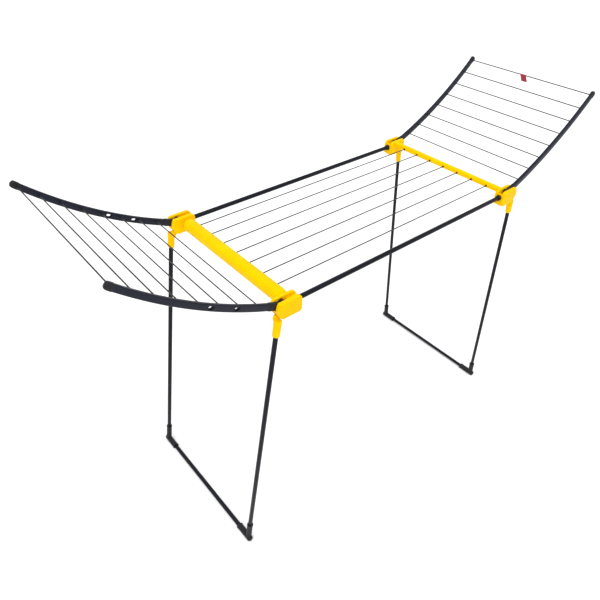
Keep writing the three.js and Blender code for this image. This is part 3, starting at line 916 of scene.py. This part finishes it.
def arm_point(place):
    """The point at a place on the wires' line, its slope, and the arm's height and sink."""
    start = WING_SEATS[0] - ARM_CENTRE
    turn = math.atan2(start.y, start.x) + place / ARM_RADIUS
    here = ARM_CENTRE + ARM_RADIUS * Vector((math.cos(turn), math.sin(turn)))
    share = (place - ARM_ROOT) / (ARM_TIP - ARM_ROOT)
    height = ARM_ROOT_HEIGHT + (ARM_TIP_HEIGHT - ARM_ROOT_HEIGHT) * share
    return here, turn + math.pi / 2, height, ARM_SINK * (1 - share)


def arm_edge(at, side):
    """The arm's upper (1) or lower (-1) edge, or its middle (0)."""
    here, slope, height, sink = at
    return here + (side * height / 2 - sink) * Vector((-math.sin(slope), math.cos(slope)))


def arm_ring(place, width, height, edge):
    """A rounded rectangle round the arm's middle at a place."""
    at = arm_point(place)
    here, slope = arm_edge(at, 0), at[1]
    up = Vector((-math.sin(slope), 0, math.cos(slope)))
    centre = Vector((here.x, RAIL.y, here.y))
    w, h = width / 2, height / 2
    corners = [(-w, -h, edge), (w, -h, edge), (w, h, edge), (-w, h, edge)]
    across = Vector((0, 1, 0))
    return [centre + across * p.x + up * p.y for p in rounded(corners, 5)]


def shrunk(size, amount):
    """A ring's size with the amount taken off both sides."""
    return max(SMALLEST, size - 2 * amount)


def arm_body():
    """The tube, from inside the root fitting to inside the tip cap."""
    start, end = ARM_ROOT + TUBE_IN_FITTING, ARM_TIP - TUBE_IN_CAP
    rings = []
    for i in range(TUBE_STEPS + 1):
        place = start + (end - start) * i / TUBE_STEPS
        rings.append(arm_ring(place, ARM_WIDTH, arm_point(place)[2], ARM_EDGE))
    return loft(rings)


def root_fitting():
    """The thicker moulding that carries the hinge eye and grips the arm's root."""
    rings = []
    full = (FITTING_WIDTH, ARM_ROOT_HEIGHT + FITTING_PROUD)
    start, mouth = ARM_ROOT + FITTING_ROUND, FITTING_END - FITTING_MOUTH
    for i in range(ROUND_STEPS + 1):
        turn = math.pi / 2 * i / ROUND_STEPS
        trim = FITTING_ROUND * (1 - math.sin(turn))
        size = [shrunk(s, trim) for s in full]
        rings.append(arm_ring(start - FITTING_ROUND * math.cos(turn), *size, FITTING_EDGE))
    for i in range(1, FITTING_STEPS + 1):
        place = start + (mouth - start) * i / FITTING_STEPS
        rings.append(arm_ring(place, *full, FITTING_EDGE))
    for i in range(1, ROUND_STEPS + 1):
        turn = math.pi / 2 * i / ROUND_STEPS
        trim = FITTING_MOUTH_TRIM * (1 - math.cos(turn))
        size = [shrunk(s, trim) for s in full]
        place = mouth + FITTING_MOUTH * math.sin(turn)
        rings.append(arm_ring(place, *size, FITTING_MOUTH_EDGE))
    return loft(rings)


def tip_cap():
    """The bulging cap on the arm's tip, over the outermost wire's seat."""
    rings = []
    start = ARM_TIP - CAP_LENGTH
    width, height = ARM_WIDTH + 2 * CAP_PROUD, ARM_TIP_HEIGHT + CAP_PROUD_HEIGHT
    for i in range(ROUND_STEPS + 1):
        turn = math.pi / 2 * i / ROUND_STEPS
        trim = CAP_START_TRIM * (1 - math.sin(turn))
        size = (width - 2 * trim, height - 2 * trim)
        rings.append(arm_ring(start + CAP_START * (1 - math.cos(turn)), *size, CAP_START_EDGE))
    nose = height / 2
    rings.append(arm_ring(ARM_TIP - nose, width, height, CAP_EDGE))
    for i in range(1, CAP_STEPS + 1):
        turn = math.pi / 2 * i / CAP_STEPS
        shape = math.cos(turn) ** CAP_BLUNTNESS if i < CAP_STEPS else 0
        loss = CAP_NARROWING * (1 - math.cos(turn)) ** CAP_NARROWING_DELAY
        ring_width = shrunk(width, width / 2 * loss)
        ring_height = max(CAP_SMALLEST, height * shape)
        edge = min(CAP_EDGE, ring_height * CAP_EDGE_SHARE, ring_width * CAP_EDGE_SHARE)
        place = ARM_TIP - nose + nose * math.sin(turn)
        rings.append(arm_ring(place, ring_width, ring_height, edge))
    return loft(rings)


def slot_cutter(place):
    """A round-ended slot through the arm for a hanger's hook, flared at both mouths."""
    at = arm_point(place)
    here, slope = arm_edge(at, 0), at[1]
    along = Vector((math.cos(slope), math.sin(slope)))
    half = ARM_WIDTH / 2
    # each level is a place across the arm, and the share of the flare there
    levels = [(-half - 1, 1.25), (-half, 1), (-half * 0.62, 0.42), (-half * 0.4, 0)]
    levels += [(-y, flare) for y, flare in reversed(levels)]
    reach = SLOT_LENGTH / 2 - SLOT_HEIGHT / 2
    rings = []
    for y, flare in levels:
        radius = SLOT_HEIGHT / 2 + SLOT_FLARE * flare
        ends = []
        for sign in (1, -1):
            turn = slope - math.pi / 2 + (0 if sign > 0 else math.pi)
            ends += arc(here + along * sign * reach, radius, turn, turn + math.pi, 12)
        rings.append([Vector((p.x, RAIL.y + y, p.y)) for p in ends])
    return loft(rings)


def wire_seats():
    """Cutters for the wires' round seats in the arm's inner side, innermost first."""
    inner = RAIL.y - ARM_WIDTH / 2
    shells = []
    for seat in WING_SEATS:
        start = Vector((seat.x, inner - CUT, seat.y))
        end = Vector((seat.x, inner + SEAT_DEPTH, seat.y))
        shells.append(rod(start, end, WIRE_RADIUS + BORE_GAP, HOLE_SIDES))
    return shells


def make_arms():
    """Each arm is a tube with a root fitting and a tip cap; the near tubes have slots."""
    across = Vector((0, 1, 0))
    eye_low = Vector((WING_PIVOT.x, RAIL.y - FITTING_WIDTH / 2, WING_PIVOT.z))
    eye = rod(eye_low, eye_low + across * FITTING_WIDTH, EYE_RADIUS, TUBE_SIDES, EYE_EDGE)
    bore_low = eye_low - across * CUT
    bore_high = bore_low + across * 3 * CUT
    bore = rod(bore_low, bore_high, WING_PIN_RADIUS + BORE_GAP, PIN_SIDES)
    root = boolean(to_object("root", root_fitting()), "UNION", [eye])
    boolean(root, "DIFFERENCE", [bore])
    *seats, cap_seat = wire_seats()
    cap = boolean(to_object("cap", tip_cap()), "DIFFERENCE", [cap_seat])
    arms = {}
    for end in ENDS:
        slots = [slot_cutter(place) for place in SLOT_PLACES] if end == "near" else []
        arm = to_object("arm", arm_body())
        boolean(arm, "DIFFERENCE", [bore, *seats, *slots])
        arms[end] = arm
    for end, x_sign in ENDS.items():
        for side, y_sign in SIDES.items():
            corner, body = f"{end}_{side}", f"{end}_wing"
            tube = mirrored_copy(arms[end], corner, x_sign, y_sign)
            dress(tube, f"{corner}_arm_tube", body, "black_tube", ARM_COAT, f"{corner}_wing_arm")
            for source, label in ((root, "arm_root"), (cap, "arm_tip_cap")):
                copy = mirrored_copy(source, corner, x_sign, y_sign)
                dress(copy, f"{corner}_{label}", body, "black_plastic", BLACK_PLASTIC)
    for source in (root, cap, *arms.values()):
        bpy.data.objects.remove(source)


# ---- legs -----------------------------------------------------------------------------------
class Leg:
    """A leg's line in its own corner: down along it from beside the pivot, and across."""

    def __init__(self, end):
        self.end = end
        bar = middle(f"{end}_floor_bar")
        low, high = box(f"{end}_back_leg_tube")
        self.foot = Vector((abs(bar.x), bar.z))
        self.y = (low.y + high.y) / 2
        self.radius = (high.y - low.y) / 2
        self.bar_radius = extent(f"{end}_floor_bar").z / 2
        self.lean = 0.0
        for _ in range(8):  # the tube's ends are square to it, so its box is a little wider
            run = (high.x - low.x) - 2 * self.radius * math.cos(self.lean)
            rise = (high.z - low.z) - 2 * self.radius * math.sin(self.lean)
            self.lean = math.atan2(run, rise)
        self.down = Vector((math.sin(self.lean), -math.cos(self.lean)))
        self.across = Vector((math.cos(self.lean), math.sin(self.lean)))
        pivot = LEG_PIVOT.xz
        self.length = (self.foot - pivot).dot(self.down)
        self.offset = (self.foot - pivot).dot(self.across)

    def flat(self, down, across):
        """A place in X and Z, from the pivot."""
        return LEG_PIVOT.xz + self.down * down + self.across * across

    def point(self, down):
        """A point on the leg's centre line."""
        place = self.flat(down, self.offset)
        return Vector((place.x, self.y, place.y))


def lug_outline(leg):
    """The lug's side view: round the eye, then out to the sleeve's shoulder."""
    corners = [
        (8.4, -3, 0),
        (11, 10.5, 3),
        (SLEEVE_TOP + 8, leg.offset - 8, 3),
        (SLEEVE_TOP + 13, leg.offset + 2, 0),
        (SLEEVE_TOP + 3, leg.offset + 5, 3),
        (3, leg.offset + 2, 3),
        (-1, 9, 3),
    ]
    outline = []
    for down, across, reach in corners:
        place = leg.flat(down, across)
        outline.append((place.x, place.y, reach))
    return rounded(outline, 4)


def make_sleeve(leg):
    """A tapered sleeve, rounded at the top, with the cranked lug that the leg hangs from."""
    across = Vector((0, 1, 0))
    low, high = RAIL.y - LUG_HALF, RAIL.y + LUG_HALF
    radius = SLEEVE_RADIUS[leg.end]
    mouth_radius = radius - SLEEVE_TAPER
    corners = [
        (0, 0, 0),
        (0, radius, 4),
        (SLEEVE_LENGTH - SLEEVE_MOUTH, mouth_radius + SLEEVE_MOUTH_TAPER, 6),
        (SLEEVE_LENGTH, mouth_radius, 1.6),
        (SLEEVE_LENGTH, 0, 0),
    ]
    start = leg.point(SLEEVE_TOP)
    down = leg.point(SLEEVE_TOP + 1) - start
    profile = rounded(corners, 5, closed=False)
    sleeve = to_object("sleeve", lathe(start, down, profile, TUBE_SIDES))
    lug = plate(lug_outline(leg), low, high, LUG_EDGE, LUG_EDGE)
    eye_low = Vector((LEG_PIVOT.x, low, LEG_PIVOT.z))
    eye_high = eye_low + across * 2 * LUG_HALF
    eye = rod(eye_low, eye_high, LEG_EYE_RADIUS, TUBE_SIDES, LEG_EYE_EDGE)
    bore_low = eye_low - across * CUT
    bore_high = bore_low + across * 3 * CUT
    pin_bore = rod(bore_low, bore_high, LEG_PIN_RADIUS + BORE_GAP, LUG_BORE_SIDES)
    tube_low = leg.point(SLEEVE_TOP + SLEEVE_LENGTH + CUT)
    tube_high = leg.point(SLEEVE_TOP + SLEEVE_WALL_END)
    tube_bore = rod(tube_high, tube_low, leg.radius + BORE_GAP, TUBE_SIDES)
    boolean(sleeve, "UNION", [lug])
    boolean(sleeve, "UNION", [eye])
    boolean(sleeve, "DIFFERENCE", [pin_bore])
    return boolean(sleeve, "DIFFERENCE", [tube_bore])


def collared(length, radius, bore, blind):
    """A socket's profile: plain, then a collar at its mouth, then back down the bore."""
    return [
        (0, 0, 0),
        (0, radius, 0),
        (length - FOOT_COLLAR_LENGTH - FOOT_COLLAR_STEP, radius, 0.8),
        (length - FOOT_COLLAR_LENGTH, radius + FOOT_COLLAR, 0.8),
        (length, radius + FOOT_COLLAR, 1.3),
        (length, bore, 0.4),
        (blind, bore, 0.4),
        (blind, 0, 0),
    ]


def make_foot(leg):
    """A corner fitting: a socket up the leg, one along the floor bar, and a domed toe."""
    node_low, node_high = box(f"{leg.end}_back_foot")
    axis = leg.point(leg.length)
    up = (leg.point(leg.length - 1) - axis).normalized()
    bore = leg.radius + BORE_GAP
    reach = FOOT_SLEEVE_UP[leg.end]
    riser_corners = collared(reach, FOOT_RADIUS - FOOT_COLLAR, bore, FOOT_RADIUS)
    riser = lathe(axis, up, rounded(riser_corners, 4, closed=False), TUBE_SIDES)
    toe = node_high.y - leg.y
    blind = FOOT_RADIUS + FOOT_WALL
    socket = collared(FOOT_SLEEVE_IN, FOOT_RADIUS, leg.bar_radius + BORE_GAP, blind)
    socket = [(along + toe, radius, rounding) for along, radius, rounding in socket[2:]]
    dome_length = FOOT_RADIUS * TOE_SHARE
    profile = []
    for i in range(TOE_STEPS + 1):
        turn = math.pi / 2 * i / TOE_STEPS
        along = dome_length * (1 - math.cos(turn))
        profile.append(Vector((along, FOOT_RADIUS * math.sin(turn))))
    profile += rounded([(dome_length + 1, FOOT_RADIUS, 0)] + socket, 4, closed=False)
    start = Vector((axis.x, node_high.y, axis.z))
    foot = to_object("foot", lathe(start, Vector((0, -1, 0)), profile, TUBE_SIDES))
    boolean(foot, "UNION", [riser])
    leg_bore = rod(axis + up * FOOT_RADIUS, axis + up * (reach + CUT), bore, TUBE_SIDES)
    left, right = axis.x - 3 * CUT, axis.x + 3 * CUT
    under = [Vector(p) for p in ((left, -CUT), (right, -CUT), (right, 0), (left, 0))]
    ground = plate(under, node_low.y - CUT, node_high.y + CUT)
    return boolean(foot, "DIFFERENCE", [leg_bore, ground])


def make_legs():
    """The two leg frames: sleeves, tubes and feet at the corners, and a floor bar each."""
    for end, x_sign in ENDS.items():
        leg = Leg(end)
        body = f"{end}_legs"
        sleeve, foot = make_sleeve(leg), make_foot(leg)
        top = leg.point(SLEEVE_TOP + SLEEVE_WALL_END + LEG_END_GAP)
        bottom = leg.point(leg.length - FOOT_RADIUS - LEG_END_GAP)
        tube = rod(top, bottom, leg.radius, TUBE_SIDES, TUBE_END_EDGE)
        for side, y_sign in SIDES.items():
            corner = f"{end}_{side}"
            copy = mirrored_copy(sleeve, corner, x_sign, y_sign)
            dress(
                copy, f"{corner}_leg_socket", body, "yellow_plastic", YELLOW,
                f"{corner}_leg_sleeve",
            )
            copy = mirrored_copy(foot, corner, x_sign, y_sign)
            dress(
                copy, f"{corner}_corner_foot", body, "black_plastic", BLACK_PLASTIC,
                f"{corner}_foot",
            )
            made = to_object("leg", tube, x_sign, y_sign)
            dress(made, f"{corner}_leg", body, "black_tube", TUBE_COAT, f"{corner}_leg_tube")
        for source in (sleeve, foot):
            bpy.data.objects.remove(source)
        start, stop = line_along(f"{end}_floor_bar", 1)
        bar = to_object("bar", rod(start, stop, leg.bar_radius, TUBE_SIDES, TUBE_END_EDGE))
        dress(bar, f"{end}_floor_tube", body, "black_tube", TUBE_COAT, f"{end}_floor_bar")


# ---- tag -----------------------------------------------------------------------------------
def make_tag():
    """A plain label folded over the outermost wire, hanging a little askew."""
    low, high = box("wire_tag")
    wire = middle(numbered("far_wing_wire")[-1])
    radius = WIRE_RADIUS + TAG_FOLD_GAP
    drop = TAG_DROP_SHARE * (high.z - low.z - radius)
    leaves = []
    for side, splay in TAG_LEAVES:
        leaf = []
        for i in range(TAG_STEPS + 1):
            t = i / TAG_STEPS
            closing = max(0.0, 1 - t * TAG_CLOSING) ** TAG_CLOSING_CURVE
            gap = TAG_LEAF_GAP + (radius - TAG_LEAF_GAP) * closing
            leaf.append(Vector((side * (gap + splay * t * t), -drop * t)))
        leaves.append(leaf)
    over = arc(Vector((0, 0)), radius, 0, math.pi, TAG_FOLD_STEPS)[1:-1]
    line = leaves[0][::-1] + over + leaves[1]
    outer = []
    for i, here in enumerate(line):
        along = line[min(i + 1, len(line) - 1)] - line[max(i - 1, 0)]
        outer.append(here + TAG_THICKNESS * Vector((along.y, -along.x)).normalized())
    outline = line + outer[::-1]
    rings = []
    for column in range(TAG_STEPS + 1):
        y = low.y + (high.y - low.y) * column / TAG_STEPS
        wave = TAG_WAVE * math.sin(math.pi * column / TAG_STEPS)
        ring = []
        for p in outline:
            share = max(0.0, -p.y / drop)
            x = wire.x + p.x + wave * share
            ring.append(Vector((x, y + TAG_SKEW * share, wire.z + p.y)))
        rings.append(ring)
    tag = to_object("tag", loft(rings))
    dress(tag, "wire_tag_label", "far_wing", "tag_label", VINYL, "wire_tag")


make_camera()
make_floor()
make_light()
make_rails()
make_rail_bushes()
make_wires()
make_housing()
make_crossbar()
make_knuckles()
make_arms()
make_legs()
make_tag()
